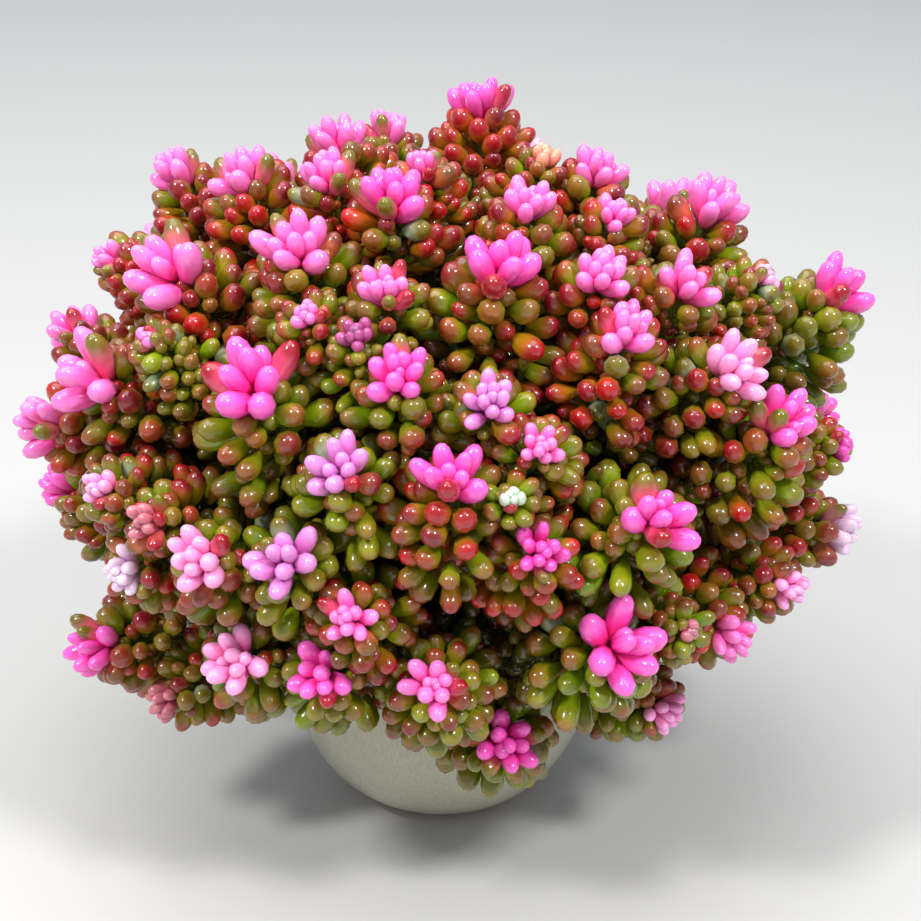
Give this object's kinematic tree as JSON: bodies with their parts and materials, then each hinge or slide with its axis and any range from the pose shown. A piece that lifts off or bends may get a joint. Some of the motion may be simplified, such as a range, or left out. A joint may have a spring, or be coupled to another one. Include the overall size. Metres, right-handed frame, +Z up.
{
  "type": "potted jelly bean plant",
  "caption": "Potted succulent: a dome of branching shoots with bean-shaped green and red leaves and pink leaf heads, in a small round glazed bowl on a flat foot.",
  "frame": {"origin": "centre of the pot's flat foot, on the pot's axis, where it stands on a table", "axes": "+Z up along the pot's axis, +X to the right and -Y towards the viewer of the picture"},
  "size_m": [0.1984, 0.168, 0.1756],
  "materials": {
    "pot_glaze": "gloss",
    "soil": "matte",
    "green_leaves": "gloss",
    "pink_leaves": "gloss"
  },
  "bodies": {
    "root": {"glazed_pot": "pot_glaze", "potting_mix": "soil", "leafy_stem_01": "green_leaves", "leafy_stem_02": "green_leaves", "leafy_stem_03": "green_leaves", "leafy_stem_04": "green_leaves", "leafy_stem_05": "green_leaves", "leafy_stem_06": "green_leaves", "leafy_stem_07": "green_leaves", "leafy_stem_08": "green_leaves", "leafy_stem_09": "green_leaves", "leafy_stem_10": "green_leaves", "leafy_stem_11": "green_leaves", "leafy_stem_12": "green_leaves", "leafy_stem_13": "green_leaves", "leafy_stem_14": "green_leaves", "pink_head_01": "pink_leaves", "pink_head_02": "pink_leaves", "pink_head_03": "pink_leaves", "pink_head_04": "pink_leaves", "pink_head_05": "pink_leaves", "pink_head_06": "pink_leaves", "pink_head_07": "pink_leaves", "pink_head_08": "pink_leaves", "pink_head_09": "pink_leaves", "pink_head_10": "pink_leaves", "pink_head_11": "pink_leaves", "pink_head_12": "pink_leaves", "pink_head_13": "pink_leaves", "pink_head_14": "pink_leaves", "pink_head_15": "pink_leaves", "pink_head_16": "pink_leaves", "pink_head_17": "pink_leaves", "pink_head_18": "pink_leaves", "pink_head_19": "pink_leaves", "pink_head_20": "pink_leaves", "pink_head_21": "pink_leaves", "pink_head_22": "pink_leaves", "pink_head_23": "pink_leaves", "pink_head_24": "pink_leaves", "pink_head_25": "pink_leaves", "pink_head_26": "pink_leaves", "pink_head_27": "pink_leaves", "pink_head_28": "pink_leaves", "pink_head_29": "pink_leaves", "pink_head_30": "pink_leaves", "pink_head_31": "pink_leaves", "pink_head_32": "pink_leaves", "pink_head_33": "pink_leaves", "pink_head_34": "pink_leaves", "pink_head_35": "pink_leaves", "pink_head_36": "pink_leaves", "pink_head_37": "pink_leaves", "pink_head_38": "pink_leaves", "pink_head_39": "pink_leaves", "pink_head_40": "pink_leaves", "pink_head_41": "pink_leaves", "pink_head_42": "pink_leaves", "pink_head_43": "pink_leaves", "pink_head_44": "pink_leaves"}
  },
  "joints": []
}
